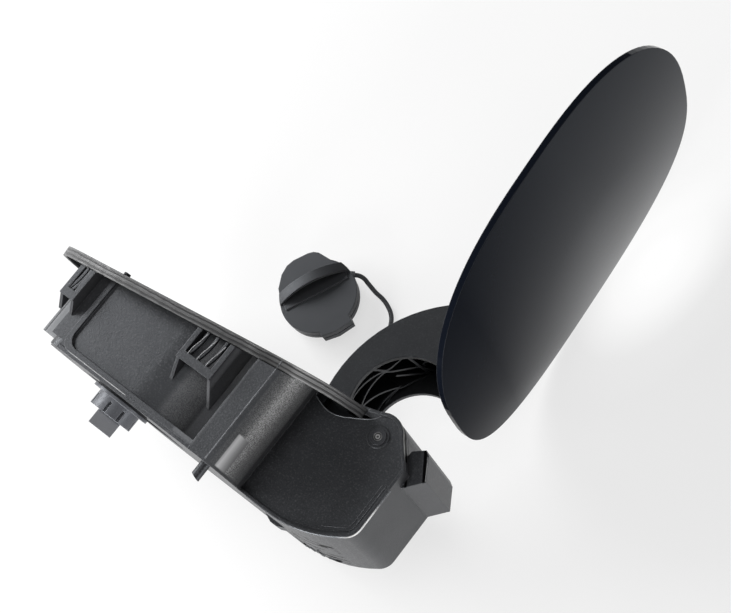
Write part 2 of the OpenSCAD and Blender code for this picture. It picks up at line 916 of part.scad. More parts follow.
// Screws of the striker foot, drawn in the shut position
module striker_screw_shafts(head) {
    top = mouth_at(foot_x_shut) + (door_gap + panel_t) / cos(mouth_tilt) - 0.5;
    seat = top - panel_t - striker_pad - 0.2;
    opened()
        for (z = striker_screw_z)
            translate([foot_x_shut, 0, z]) {
                plan(seat - 0.1, top)
                    circle(d = striker_screw_d);
                if (head > 0)
                    plan(seat - head, seat)
                        circle(d = striker_screw_d + 2);
            }
}

module striker_screws() color("silver") striker_screw_shafts(0.9);

// Hook that swings into the lock, curved about the hinge axis, with a screwed foot
module door_striker() color("#303032") {
    opened()
        difference() {
            union() {
                intersection() {
                    translate([hinge_x, hinge_y, 0])
                        side(striker_z0, striker_z1)
                            difference() {
                                circle(r = striker_r + striker_w / 2, $fn = 180);
                                circle(r = striker_r - striker_w / 2, $fn = 180);
                            }
                    translate([lock_x - 20, striker_low, striker_z0])
                        cube([40, 60, striker_t]);
                    under_crown(door_gap);
                }
                intersection() {
                    mouth()
                        translate([foot_x - foot_w / 2, -5, foot_z0])
                            cube([foot_w, 20, foot_z1 - foot_z0]);
                    difference() {
                        under_crown(door_gap);
                        under_crown(door_gap - striker_pad);
                    }
                }
            }
            // The bolt goes under the hook from the free end
            translate([lock_x, lock_y, striker_z0 - 1])
                cylinder(d = striker_hook, h = striker_t + 2);
            translate([lock_x - 10, lock_y - striker_hook / 2, striker_z0 - 1])
                cube([10, striker_hook, striker_t + 2]);
            translate([foot_x_shut, 0, 0])
                for (z = striker_screw_z)
                    plan(0, 90)
                        translate([0, z])
                            circle(d = striker_screw_d);
        }
}

// Case of the lock: one moulding, open on its outer side, with the bolt guides and the striker slot
module lock_case() color("#5a5c5f") {
    x0 = lock_x0 + lock_wall;
    x1 = lock_x1 - lock_wall;
    difference() {
        translate([x0, lock_top - lock_h, lock_z0])
            cube([lock_x1 - x0, lock_h, lock_z1 - lock_z0]);
        // Motor bay, with a keyway for the bolt
        translate([x0 - 1, lock_y - motor_d / 2 - gap, motor_z0])
            cube([x1 - x0 + 1, motor_d + 2 * gap, motor_len]);
        translate([x0 - 1, lock_y - bolt_d / 2 - gap, motor_z0 + motor_len - 0.1])
            cube([x1 - x0 + 1, bolt_d + 2 * gap, guide_z0 - motor_z0 - motor_len + 0.1]);
        translate([lock_x - key_w / 2 - gap, lock_y - bolt_d / 2 - key_h - gap, motor_z0 + motor_len - 0.1])
            cube([key_w + 2 * gap, key_h + 1, guide_z0 - motor_z0 - motor_len + 0.1]);
        // Guides on both sides of the striker
        translate([lock_x, lock_y, guide_z0 - 1])
            cylinder(r = bolt_d / 2 + bolt_clear, h = bolt_tip + bolt_travel + 1 - guide_z0 + 1);
        // Lower chamber for the wiring
        translate([x0 - 1, lock_top - lock_h + lock_wall, lock_z0 + lock_wall])
            cube([x1 - x0 + 1, lock_y - 10 - lock_top + lock_h, lock_z1 - lock_z0 - 2 * lock_wall]);
        // Striker slot, curved about the hinge axis
        translate([hinge_x, hinge_y, 0])
            side(striker_z0 - 0.5, striker_z1 + 0.5)
                difference() {
                    circle(r = striker_r + striker_w / 2 + 0.5, $fn = 180);
                    circle(r = striker_r - striker_w / 2 - 0.5, $fn = 180);
                    translate([-300, -300])
                        square([600, 300 + striker_low - 1.5 - hinge_y]);
                    translate([0, -300])
                        square([300, 600]);
                }
        for (z = lock_screw_z)
            plan(lock_top - lock_screw_depth - 0.2, lock_top + 1)
                translate([lock_screw_x, z])
                    circle(d = lock_screw_d);
    }
}

// Lid on the outer side of the lock case, with a frame that stands in its lower chamber
module lock_lid() color("#626467") {
    low = lock_top - lock_h + lock_wall;
    room = lock_y - 10 - lock_top + lock_h;
    translate([lock_x0, lock_top - lock_h, lock_z0])
        cube([lock_wall, lock_h, lock_z1 - lock_z0]);
    difference() {
        translate([lock_x0 + lock_wall - 0.1, low + 0.1, lock_z0 + lock_wall + 0.1])
            cube([1.3, room - 0.2, lock_z1 - lock_z0 - 2 * lock_wall - 0.2]);
        translate([lock_x0 + lock_wall - 1, low + 1.1, lock_z0 + lock_wall + 1.1])
            cube([4, room - 2.2, lock_z1 - lock_z0 - 2 * lock_wall - 2.2]);
    }
}

// Screws through the flange into the lock case
module lock_screws() color("silver") {
    for (z = lock_screw_z)
        translate([lock_screw_x, lock_screw_seat(z), z]) {
            plan(lock_top - lock_screw_depth - lock_screw_seat(z), 0.1)
                circle(d = lock_screw_d);
            difference() {
                plan(0, 1.6)
                    circle(d = lock_head_d);
                plan(0.8, 2)
                    circle(d = 2.2, $fn = 6);
            }
        }
}

// Geared motor with two flats and a bearing hole for the spindle
module lock_motor() color("silver") {
    difference() {
        intersection() {
            translate([lock_x, lock_y, motor_z0])
                cylinder(d = motor_d, h = motor_len);
            translate([lock_x - motor_flat / 2, lock_y - motor_d, motor_z0 - 1])
                cube([motor_flat, 2 * motor_d, motor_len + 2]);
        }
        translate([lock_x, lock_y, motor_z0 + motor_len - 3])
            cylinder(r = screw_d / 2 - 0.3 + bolt_clear, h = 4);
    }
}

module lock_spindle() color("#c8b46a") {
    translate([lock_x, lock_y, motor_z0 + motor_len + 0.1])
        cylinder(d = screw_d, h = spindle_len);
    translate([lock_x, lock_y, motor_z0 + motor_len - 2.8])
        cylinder(d = screw_d - 0.6, h = 3);
}

// Bolt with a bore for the spindle and a key that stops it turning
module lock_bolt() color("#d8d8d4") {
    z0 = bolt_tip - bolt_len;
    difference() {
        union() {
            translate([lock_x, lock_y, z0])
                cylinder(d = bolt_d, h = bolt_len - 1);
            translate([lock_x, lock_y, bolt_tip - 1])
                rotate_extrude()
                    polygon([[0, 0], [bolt_d / 2, 0], [bolt_d / 2 - 1, 1], [0, 1]]);
            translate([lock_x - key_w / 2, lock_y - bolt_d / 2 - key_h, z0])
                cube([key_w, key_h + 1, 4]);
        }
        translate([lock_x, lock_y, z0 - 1])
            cylinder(r = screw_d / 2 + bolt_clear, h = spindle_len + 1.6);
    }
}

// Lamp holder behind the floor: base, slotted collar and square plug
module lamp_body() color("#3a3c40") {
    top = -floor_t - lamp_seal_t;
    low = top - lamp_base_t - lamp_collar_h;
    difference() {
        union() {
            plan(top - lamp_base_t, top)
                translate([lamp_x, lamp_z])
                    circle(d = lamp_base_d);
            plan(top - 1, -gap)
                translate([lamp_x, lamp_z])
                    circle(d = lamp_barrel_d);
            plan(low, top - lamp_base_t + 0.1)
                translate([lamp_x, lamp_z])
                    circle(d = lamp_collar_d);
        }
        plan(-floor_t, 1)
            translate([lamp_x, lamp_z])
                circle(d = lamp_barrel_d - 3);
        // Spring slots beside each tongue of the collar
        for (turn = [0:90:270])
            for (s = [-1, 1])
                translate([lamp_x, low - 1, lamp_z])
                    rotate([0, turn + lamp_turn, 0])
                        translate([s * 3.4 - 0.6, 0, lamp_collar_d / 2 - 2.6])
                            cube([1.2, lamp_collar_h - 0.6, 4]);
    }
    translate([lamp_x, low, lamp_z])
        rotate([0, lamp_turn, 0])
            difference() {
                translate([-lamp_plug_w / 2, -lamp_plug_h, -lamp_plug_w / 2])
                    cube([lamp_plug_w, lamp_plug_h + 0.1, lamp_plug_w]);
                translate([-lamp_plug_w / 2 + 1.4, -lamp_plug_h - 1, -lamp_plug_w / 2 + 1.4])
                    cube([lamp_plug_w - 2.8, lamp_plug_h - 1, lamp_plug_w - 2.8]);
            }
}

module lamp_seal() color("#161616") {
    difference() {
        plan(-floor_t - lamp_seal_t, -floor_t)
            translate([lamp_x, lamp_z])
                circle(d = lamp_base_d - 2);
        plan(-floor_t - lamp_seal_t - 1, 0)
            translate([lamp_x, lamp_z])
                circle(d = lamp_barrel_d + gap);
    }
}

module lamp_lens() color("#e8eef2", 0.6) {
    plan(0, 1.6)
        translate([lamp_x, lamp_z])
            circle(d = lamp_barrel_d + 3);
    plan(-1, 0.1)
        translate([lamp_x, lamp_z])
            circle(d = lamp_barrel_d - 3);
}

module lamp_board() color("#2f5d3a") {
    plan(-floor_t, -floor_t + 1)
        translate([lamp_x, lamp_z])
            circle(d = lamp_barrel_d - 3.4);
}

// Places what is drawn with the grip along X where the cap lies
module cap_place() {
    translate([cap_x, cap_y, cap_z])
        rotate([0, 0, cap_turn])
            children();
}

cap_grip_y = 4.8;
cap_rim_t = 3;
cap_rim_gap = 1.4;
cap_groove_z = -cap_plug_h + 2.4;
cap_seal_t = 2;
cap_arch_r = (pow(cap_d / 2, 2) + pow(cap_grip_h, 2)) / (2 * cap_grip_h);
// Lug of the cap rim, between two heights
module cap_lug(z0, z1, out) {
    translate([0, 0, z0])
        linear_extrude(z1 - z0)
            polygon([[-6.8, -10], [10.2, -10], [10.2, -out], [1, -out - 1.2], [-6.8, -out]]);
}

module cap_body() color("#38393c") {
    cap_place()
        difference() {
            union() {
                cylinder(d = cap_d, h = cap_t);
                // Raised pad that runs out into the thumb tab
                linear_extrude(cap_t + 0.8)
                    polygon([[-18, 0.6], [-18.6, 8], [-17.4, 14], [-13, 20.6], [-8.6, 24], [-4.3, 25.1],
                             [4, 24.9], [7, 24.1], [9.4, 22.2], [13.2, 15.6], [17.8, 8], [17.8, 0.9]]);
                cap_lug(0, cap_t, 22);
                // Arched grip, hollow below its front edge
                difference() {
                    intersection() {
                        translate([-cap_d / 2, cap_grip_y, cap_t - 0.5])
                            cube([cap_d, cap_grip_t, cap_grip_h + 0.5]);
                        cylinder(d = cap_d, h = 20);
                        translate([0, cap_grip_y - 1, cap_t + cap_grip_h - cap_arch_r])
                            rotate([-90, 0, 0])
                                cylinder(r = cap_arch_r, h = cap_grip_t + 2);
                    }
                    intersection() {
                        translate([-cap_d / 2, cap_grip_y - 1, cap_t + 0.8])
                            cube([cap_d, cap_grip_t - 0.6, cap_grip_h]);
                        translate([0, cap_grip_y - 2, cap_t + cap_grip_h - 1.6 - cap_arch_r])
                            rotate([-90, 0, 0])
                                cylinder(r = cap_arch_r, h = cap_grip_t + 2);
                    }
                }
                // Lower rim and plug
                translate([0, 0, -cap_rim_gap - cap_rim_t])
                    cylinder(d = cap_d - 0.8, h = cap_rim_t);
                cap_lug(-cap_rim_gap - cap_rim_t, -cap_rim_gap, 21.6);
                translate([0, 0, -cap_plug_h])
                    cylinder(d = cap_plug_d, h = cap_plug_h + 0.1);
            }
            // Hollow of the plug and groove of its ring
            translate([0, 0, -cap_plug_h - 1])
                cylinder(d = cap_plug_d - 5, h = cap_plug_h - 0.5);
            translate([0, 0, cap_groove_z])
                rotate_extrude()
                    translate([cap_plug_d / 2 - 1, -cap_seal_t / 2])
                        square([4, cap_seal_t]);
        }
}

module cap_seal() color("#141414") {
    cap_place()
        translate([0, 0, cap_groove_z])
            rotate_extrude()
                translate([cap_plug_d / 2 - 1, -cap_seal_t / 2])
                    square([1.6, cap_seal_t]);
}

// Tube swept along a list of points, with flat ends
function unit(v) = v / norm(v);
function way(p, i) = unit(i == 0 ? p[1] - p[0] : i == len(p) - 1 ? p[i] - p[i - 1]
    : unit(p[i + 1] - p[i]) + unit(p[i] - p[i - 1]));
function frames(p, i = 0, side = [0, 0, 1]) =
    let (t = way(p, i), a = unit(side - (side * t) * t))
    i == len(p) - 1 ? [[p[i], a, cross(t, a)]] : concat([[p[i], a, cross(t, a)]], frames(p, i + 1, a));
module sweep(p, r, sides) {
    n = len(p);
    f = frames(p);
    points = [for (g = f) for (k = [0:sides - 1]) g[0] + r * (cos(360 * k / sides) * g[1]
        + sin(360 * k / sides) * g[2])];
    walls = [for (i = [0:n - 2]) for (k = [0:sides - 1])
        let (m = (k + 1) % sides)
        [i * sides + k, (i + 1) * sides + k, (i + 1) * sides + m, i * sides + m]];
    ends = [[for (k = [0:sides - 1]) k], [for (k = [sides - 1:-1:0]) (n - 1) * sides + k]];
    polyhedron(points = points, faces = concat(walls, ends));
}

// Points of a smooth curve through the route points
function bend(p, i, t) =
    let (a = p[max(i - 1, 0)], b = p[i], c = p[i + 1], d = p[min(i + 2, len(p) - 1)])
    b + 0.5 * ((c - a) * t + (2 * a - 5 * b + 4 * c - d) * t * t + (3 * b - a - 3 * c + d) * t * t * t);
function smooth(p, k) = concat(
    [for (i = [0:len(p) - 2]) for (j = [0:k - 1]) bend(p, i, j / k)],
    [p[len(p) - 1]]);

module tether() color("#2a2a2c")
    sweep(smooth(TETHER, 2), tether_d / 2, 8);

// Ferrule moulded on the cap end of the tether, against the rim of the cap
module tether_eyelet() color("#2a2a2c") {
    way_out = TETHER[1] - TETHER[0];
    difference() {
        translate(TETHER[0])
            rotate([0, 0, atan2(way_out[1], way_out[0])])
                rotate([0, acos(way_out[2] / norm(way_out)), 0])
                    translate([0, 0, -3.4])
                        cylinder(d = 4, h = 3.3);
        cap_place()
            translate([0, 0, -cap_plug_h])
                cylinder(d = cap_d + 0.06, h = 30);
    }
}

// Push-in plug in a boss of the tub floor that holds the end of the tether
module tether_anchor() color("#202022") {
    last = TETHER[len(TETHER) - 1];
    plan(anchor_boss, last[1])
        translate([anchor_x, anchor_z])
            circle(d = anchor_hole + 4);
    plan(0.2, anchor_boss + 0.1)
        translate([anchor_x, anchor_z])
            circle(d = anchor_hole - 0.1);
}

// Torsion spring round the spigot: one leg on the post of the wall, one in the slot of the arm
module hinge_spring() color("silver") {
    k = 20;
    n = spring_turns * k;
    pitch = spring_wire + 0.04;
    coil = [for (i = [0:n]) [hinge_x + spring_r * cos(360 * i / k), hinge_y + spring_r * sin(360 * i / k),
        spring_z + pitch * i / k]];
    last = coil[n];
    leg_x = hinge_x + spring_r;
    fixed_leg = [[leg_x, spring_post_y - 3, spring_z], [leg_x, hinge_y - 6, spring_z]];
    moving_leg = [last + [0, -0.9, 0.5], last + [0, -1.1, spring_slot - 0.2]];
    sweep(concat(fixed_leg, coil, moving_leg), spring_wire / 2, 6);
}

housing();
rim_seal();
bump_stops();
inlet_seal();
hinge_pin();
bush_near();
bush_far();
door_arm();
arm_screws();
door_inner();
door_skin();
door_striker();
striker_screws();
hinge_spring();
lock_case();
lock_lid();
lock_screws();
lock_motor();
lock_spindle();
lock_bolt();
lamp_body();
lamp_seal();
lamp_lens();
lamp_board();
cap_body();
cap_seal();
tether();
tether_eyelet();
tether_anchor();
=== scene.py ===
import math
import bpy
from mathutils import Matrix, Vector


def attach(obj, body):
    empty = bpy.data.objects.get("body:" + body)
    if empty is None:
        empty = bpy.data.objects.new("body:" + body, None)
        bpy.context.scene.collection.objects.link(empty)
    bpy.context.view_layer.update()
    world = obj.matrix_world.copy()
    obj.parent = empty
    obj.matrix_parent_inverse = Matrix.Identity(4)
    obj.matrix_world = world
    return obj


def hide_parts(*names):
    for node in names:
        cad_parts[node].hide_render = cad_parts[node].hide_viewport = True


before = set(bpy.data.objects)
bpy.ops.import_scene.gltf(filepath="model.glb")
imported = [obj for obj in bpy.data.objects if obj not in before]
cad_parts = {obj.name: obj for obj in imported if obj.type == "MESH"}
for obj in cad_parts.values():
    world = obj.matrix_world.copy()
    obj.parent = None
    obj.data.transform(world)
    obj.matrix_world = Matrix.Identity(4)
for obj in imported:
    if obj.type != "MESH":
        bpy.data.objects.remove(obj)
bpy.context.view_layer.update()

MM = 0.001
TABLE_Z = -73.5 * MM

# Sizes of the solids that the finishes and the added pieces follow, in millimetres and degrees
MOUTH_Y = 45.7
MOUTH_TILT = 6.5
CROWN_R = 400
SEAL_D = 4.6
HINGE = (118, 50)
PIN_D = 4
EAR_R = 11
POCKET_HALF = 26
POCKET_END = 137
POCKET_CORNER = 8
POCKET_RISE_R = 61.5
POCKET_RISE_X = 98
FLOOR_T = 3
TUB_HALF = 65
TUB_RIGHT = 82
TUB_BEND = 48
STRIP_T = 1.2
STRIP_W = 10
BLOCK_TURN = 35

# Route of the tether in millimetres, from the cap to its plug in the tub floor
TETHER = [(11.9, 120.3, -61.6), (13.1, 121.2, -62.2), (15.5, 121.9, -63.8), (19.3, 121.1, -66.4),
          (24.1, 120, -68.6), (28.5, 119.5, -70.4), (32.9, 117.9, -71.6), (36.9, 115.3, -72.2),
          (39.6, 111.9, -72.3), (41.8, 106.8, -72.3), (45, 98.5, -72.1), (49.5, 88, -71.2),
          (53.5, 77, -68.8), (56.5, 66, -64.5), (58.5, 57, -59), (59.5, 49, -53.5), (60, 40, -48),
          (60, 30, -44), (60, 20, -41), (60, 12, -40), (60, 7, -40)]
TETHER_D = 2.4

# Camera at the photograph's place, before everything else
CAM_AT = Vector((379.7, -11.9, 598.4)) * MM
CAM_FORWARD = Vector((-0.46428, 0.16053, -0.87102))
CAM_UP = Vector((-0.48768, 0.77460, 0.40270))
FOCAL_MM = 73.87
SENSOR_MM = 36.0


def add_camera():
    data = bpy.data.cameras.new("camera")
    data.lens = FOCAL_MM
    data.sensor_width = SENSOR_MM
    data.sensor_fit = "HORIZONTAL"
    data.clip_start = 0.05
    data.clip_end = 20
    cam = bpy.data.objects.new("camera", data)
    bpy.context.collection.objects.link(cam)
    right = CAM_FORWARD.cross(CAM_UP).normalized()
    up = right.cross(CAM_FORWARD).normalized()
    back = -CAM_FORWARD.normalized()
    cam.matrix_world = Matrix((
        (right.x, up.x, back.x, CAM_AT.x),
        (right.y, up.y, back.y, CAM_AT.y),
        (right.z, up.z, back.z, CAM_AT.z),
        (0, 0, 0, 1)))
    bpy.context.scene.camera = cam


def wire(name, points, diameter):
    """Round wire or cord along points in millimetres. The knots carry its radius, to give true bounds."""
    curve = bpy.data.curves.new(name, "CURVE")
    curve.dimensions = "3D"
    curve.resolution_u = 8
    curve.bevel_depth = 1
    curve.bevel_resolution = 5
    curve.use_fill_caps = True
    spline = curve.splines.new("BEZIER")
    spline.bezier_points.add(len(points) - 1)
    for knot, point in zip(spline.bezier_points, points):
        knot.co = Vector(point) * MM
        knot.radius = diameter / 2 * MM
        knot.handle_left_type = knot.handle_right_type = "AUTO"
    piece = bpy.data.objects.new(name, curve)
    bpy.context.collection.objects.link(piece)
    return piece


add_camera()
tether = wire("tether_cord", list(reversed(TETHER)), TETHER_D)
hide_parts("tether")
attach(tether, "housing")


# Thin wires along edges, pale as a painted highlight: pocket rim and steps, ear, raised strip, tub wall,
# clip fingers, end block
RISE_STEPS = 8
CORNER_STEPS = 6
END_WALL_TOP = HINGE[1] - 15


def on_arc(center, radius, angle):
    return center[0] + radius * math.cos(angle), center[1] + radius * math.sin(angle)


def pocket_edge(inset, start):
    """Points along the bottom and the corner of the pocket wall, from a place along X."""
    rise = (POCKET_RISE_X, POCKET_RISE_R - FLOOR_T)
    swing = POCKET_RISE_R - POCKET_CORNER
    turn = -math.acos((POCKET_END - POCKET_CORNER - rise[0]) / swing)
    corner = on_arc(rise, swing, turn)
    if start < rise[0]:
        points = [(start, inset - FLOOR_T)]
        first = -math.pi / 2
    else:
        points = []
        first = -math.acos((start - rise[0]) / (POCKET_RISE_R - inset))
    for k in range(RISE_STEPS + 1):
        points.append(on_arc(rise, POCKET_RISE_R - inset, first + (turn - first) * k / RISE_STEPS))
    for k in range(1, CORNER_STEPS + 1):
        points.append(on_arc(corner, POCKET_CORNER - inset, turn * (1 - k / CORNER_STEPS)))
    points.append((POCKET_END - inset, END_WALL_TOP))
    return points


def wall_z(x):
    """Outer face of the near wall of the tub at a place along X."""
    past = max(0, x - TUB_RIGHT + TUB_BEND)
    return TUB_HALF - TUB_BEND + math.sqrt(TUB_BEND ** 2 - past ** 2)


def trim(name, points, diameter):
    piece = wire(name, points, diameter)
    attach(piece, "housing")
    return piece


def pocket_trim(name, inset, start, height, diameter):
    return trim(name, [(x, y, height) for x, y in pocket_edge(inset, start)], diameter)


# Dipped top edge of the pocket wall, then the ear and the end wall
EAR_EDGE = [(83, 49.1), (86, 48), (90, 47), (94, 47), (98, 48), (102, 49.9), (106, 52), (110, 54.4),
            (112.5, 56.8), (114.4, 60.2)]
EAR_EDGE += [on_arc(HINGE, EAR_R, math.radians(angle)) for angle in (100, 80, 60, 45, 32)]
EAR_EDGE += [(133, 49.4), (POCKET_END - 0.4, 45.4)]
# Places of the other lines along X or Y, and where they lie in the other two directions
STRIP_EDGE_Y = (-2, 14, 30, 44)
STRIP_SIDE_Y = (0, 15, 30, 44)
STRIP_LINE_Z = TUB_HALF + STRIP_T - 0.1
WALL_FOOT_X = (-4, 10, 22, 33)
WALL_FOOT_Y = -1.3
WALL_BEND_X = (35, 44, 52, 60, 66, 71, 75, 78)
WALL_BEND_Y = -2.7
# Each finger's line starts at one of these places along X. Its wave is given as steps along X with their Y
FINGER_X = (46.9, 52.2, 57.5)
FINGER_WAVE = ((0, 27.6), (0.2, 31), (1.2, 35), (2, 39))
FINGER_LINE_Z = 71.2
BLOCK_EDGE = ((144.1, 47.1), (141.4, 51.4), (138.4, 56.1))
BLOCK_LINE_Z = 18.9

pocket_rim = pocket_trim("pocket_rim", inset=0.5, start=86, height=POCKET_HALF - 0.4, diameter=1.7)
pocket_steps = [
    pocket_trim("pocket_step_outer", inset=2.6, start=112, height=POCKET_HALF, diameter=0.5),
    pocket_trim("pocket_step_inner", inset=4.2, start=122, height=POCKET_HALF, diameter=0.4)]
ear_edge = trim("ear_edge", [(x, y, POCKET_HALF) for x, y in EAR_EDGE], diameter=0.6)
strip_lines = [
    trim("strip_edge", [(TUB_RIGHT - 0.5, y, STRIP_LINE_Z) for y in STRIP_EDGE_Y], diameter=0.6),
    trim("strip_side", [(TUB_RIGHT - STRIP_W, y, STRIP_LINE_Z) for y in STRIP_SIDE_Y], diameter=0.35)]
wall_lines = [
    trim("wall_foot", [(x, WALL_FOOT_Y, STRIP_LINE_Z) for x in WALL_FOOT_X], diameter=0.55),
    trim("wall_foot_bend", [(x, WALL_BEND_Y, wall_z(x)) for x in WALL_BEND_X], diameter=0.6)]
finger_lines = [
    trim(f"finger_glint_{i}", [(x + dx, y, FINGER_LINE_Z) for dx, y in FINGER_WAVE], diameter=0.45)
    for i, x in enumerate(FINGER_X, 1)]
block_edge = trim("block_edge", [(x, y, BLOCK_LINE_Z) for x, y in BLOCK_EDGE], diameter=0.45)


# Web inside the pocket, between its near wall and the hinge end of the tub
WEB_LOW = (80.4, 45, 19.3)
WEB_HIGH = (86.4, 52.6, 23.6)


def block(name, low, high):
    center = [(a + b) / 2 * MM for a, b in zip(low, high)]
    bpy.ops.mesh.primitive_cube_add(size=1, location=center)
    piece = bpy.context.object
    piece.name = name
    piece.scale = [(b - a) * MM for a, b in zip(low, high)]
    bpy.ops.object.transform_apply(scale=True, location=True)
    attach(piece, "housing")
    return piece


web = block("pocket_web", WEB_LOW, WEB_HIGH)


# Materials
# Faintly blue mirror colours, for dark plastic and rubber and for the door
COOL = (0.88, 0.93, 1, 1)
DOOR_COOL = (0.78, 0.88, 1, 1)
# Sockets of the colour mix node, whose names are given more than once on it
MIX_FACTOR = 0
MIX_A = 6
MIX_B = 7
MIX_RESULT = 2


def new_material(name):
    material = bpy.data.materials.new(name)
    material.use_nodes = True
    tree = material.node_tree
    return material, tree, tree.nodes["Principled BSDF"]


def object_coords(tree):
    return tree.nodes.new("ShaderNodeTexCoord").outputs["Object"]


def noise(tree, coords, scale, detail=4, roughness=0.5):
    node = tree.nodes.new("ShaderNodeTexNoise")
    node.inputs["Scale"].default_value = scale
    node.inputs["Detail"].default_value = detail
    node.inputs["Roughness"].default_value = roughness
    tree.links.new(coords, node.inputs["Vector"])
    return node.outputs["Fac"]


def remap(tree, value, low, high, to_low, to_high):
    """Runs from one level to another while the value runs from low to high, and stays level outside."""
    node = tree.nodes.new("ShaderNodeMapRange")
    node.inputs["From Min"].default_value = low
    node.inputs["From Max"].default_value = high
    node.inputs["To Min"].default_value = to_low
    node.inputs["To Max"].default_value = to_high
    tree.links.new(value, node.inputs["Value"])
    return node.outputs["Result"]


def connect(tree, value, socket):
    """Links an output, or writes a number or colour straight onto the socket."""
    if isinstance(value, bpy.types.NodeSocket):
        tree.links.new(value, socket)
    elif isinstance(value, (tuple, list)):
        socket.default_value = (*value[:3], 1) if len(socket.default_value) == 4 else value
    else:
        socket.default_value = value


def mix_colors(tree, factor, dark, light):
    """The first colour where the factor is 0, the second where it is 1."""
    node = tree.nodes.new("ShaderNodeMix")
    node.data_type = "RGBA"
    connect(tree, dark, node.inputs[MIX_A])
    connect(tree, light, node.inputs[MIX_B])
    tree.links.new(factor, node.inputs[MIX_FACTOR])
    return node.outputs[MIX_RESULT]


def calc(tree, operation, first, second=0):
    node = tree.nodes.new("ShaderNodeMath")
    node.operation = operation
    connect(tree, first, node.inputs[0])
    connect(tree, second, node.inputs[1])
    return node.outputs["Value"]


def split(tree, coords):
    node = tree.nodes.new("ShaderNodeSeparateXYZ")
    tree.links.new(coords, node.inputs["Vector"])
    return node.outputs


def slope(tree, value, limits, to_low=0, to_high=1):
    """Runs from one level to another between two limits in millimetres."""
    return remap(tree, value, limits[0] * MM, limits[1] * MM, to_low, to_high)


def within(tree, value, low, high, soft):
    """1 between two limits in millimetres, with soft sides."""
    rise = slope(tree, value, (low - soft, low + soft))
    fall = slope(tree, value, (high - soft, high + soft), 1, 0)
    return calc(tree, "MULTIPLY", rise, fall)


def distance_from(tree, x, y, place=(0, 0), y_share=1):
    """Distance in the XY plane from a place in millimetres. A smaller y_share stretches it along Y."""
    dx = calc(tree, "SUBTRACT", x, place[0] * MM)
    dy = calc(tree, "MULTIPLY", calc(tree, "SUBTRACT", y, place[1] * MM), y_share)
    squares = calc(tree, "ADD", calc(tree, "MULTIPLY", dx, dx), calc(tree, "MULTIPLY", dy, dy))
    return calc(tree, "SQRT", squares)


def zone(tree, axes, limits, soft=0.5):
    """1 inside a box whose limits along each axis are a pair in millimetres, or None where it is open."""
    inside = None
    for axis, pair in zip(axes, limits):
        if pair:
            part = within(tree, axis, *pair, soft)
            inside = calc(tree, "MULTIPLY", inside, part) if inside else part
    return inside


def ramp(tree, value, stops):
    """Grey level that goes through the stops, each a place from 0 to 1 and its level."""
    node = tree.nodes.new("ShaderNodeValToRGB")
    bar = node.color_ramp.elements
    while len(bar) < len(stops):
        bar.new(0.5)
    for stop, (place, level) in zip(bar, stops):
        stop.position = place
        stop.color = (level, level, level, 1)
    tree.links.new(value, node.inputs["Fac"])
    return node.outputs["Color"]


def rounded(tree, radius):
    """Normal that rounds the sharp edges, and a mask that is 1 on them."""
    bevel = tree.nodes.new("ShaderNodeBevel")
    bevel.samples = 6
    bevel.inputs["Radius"].default_value = radius * MM
    flat = tree.nodes.new("ShaderNodeNewGeometry")
    dot = tree.nodes.new("ShaderNodeVectorMath")
    dot.operation = "DOT_PRODUCT"
    tree.links.new(bevel.outputs["Normal"], dot.inputs[0])
    tree.links.new(flat.outputs["Normal"], dot.inputs[1])
    return bevel.outputs["Normal"], remap(tree, dot.outputs["Value"], 0.96, 0.8, 0, 1)


def bumps(tree, shader, normal, layers):
    """Chains bump layers of (height socket, distance in millimetres, strength) onto a normal."""
    for height, distance, strength in layers:
        bump = tree.nodes.new("ShaderNodeBump")
        bump.inputs["Distance"].default_value = distance * MM
        bump.inputs["Strength"].default_value = strength
        tree.links.new(height, bump.inputs["Height"])
        tree.links.new(normal, bump.inputs["Normal"])
        normal = bump.outputs["Normal"]
    tree.links.new(normal, shader.inputs["Normal"])


def plastic(name, dark, light, rough=(0.35, 0.5), grain=1700, depth=0.06, edge=0.5, specular=0.5,
            fleck=0.25, painted_sheen=0.5, extra=None):
    """Moulded plastic: spark-eroded grain, slow colour drift, pale flecks, and edges made paler as a
    painted highlight.
    extra adds zones to the colour, and gives it with a mask of what is dull, or None."""
    material, tree, shader = new_material(name)
    coords = object_coords(tree)
    drift = noise(tree, coords, 45, 5, 0.6)
    speckle = noise(tree, coords, grain, 3, 0.6)
    normal, edges = rounded(tree, edge)
    color = mix_colors(tree, remap(tree, drift, 0.35, 0.65, 0, 1), dark, light)
    pale = [min(1, c * 2.2 + 0.03) for c in light]
    color = mix_colors(tree, remap(tree, speckle, 0.5, 0.36, 0, fleck), color, [c * 0.4 for c in dark])
    color = mix_colors(tree, remap(tree, speckle, 0.56, 0.68, 0, fleck), color, pale)
    shader.inputs["Specular IOR Level"].default_value = specular
    relief = []
    if extra:
        color, dull = extra(tree, coords, color)
        if dull:
            tree.links.new(remap(tree, dull, 0, 1, specular, 0.02), shader.inputs["Specular IOR Level"])
            relief = [(dull, -0.6, 1.0)]
    # Edges mixed towards the pale grey, more where the drift is high: painted highlight
    edge_highlight = calc(tree, "MULTIPLY", edges, remap(tree, drift, 0.3, 0.6, painted_sheen * 0.5, painted_sheen))
    color = mix_colors(tree, edge_highlight, color, pale)
    tree.links.new(color, shader.inputs["Base Color"])
    tree.links.new(remap(tree, speckle, 0.3, 0.7, rough[0], rough[1]), shader.inputs["Roughness"])
    shader.inputs["Specular Tint"].default_value = COOL
    bumps(tree, shader, normal, relief + [(speckle, depth, 0.7), (drift, 0.25, 0.15)])
    return material


# How much the door mirrors, from its hinge side to its free side, and the places along Y between them
DOOR_MIRROR = (0.02, 0.15)
DOOR_FADE_Y = (110, 185)


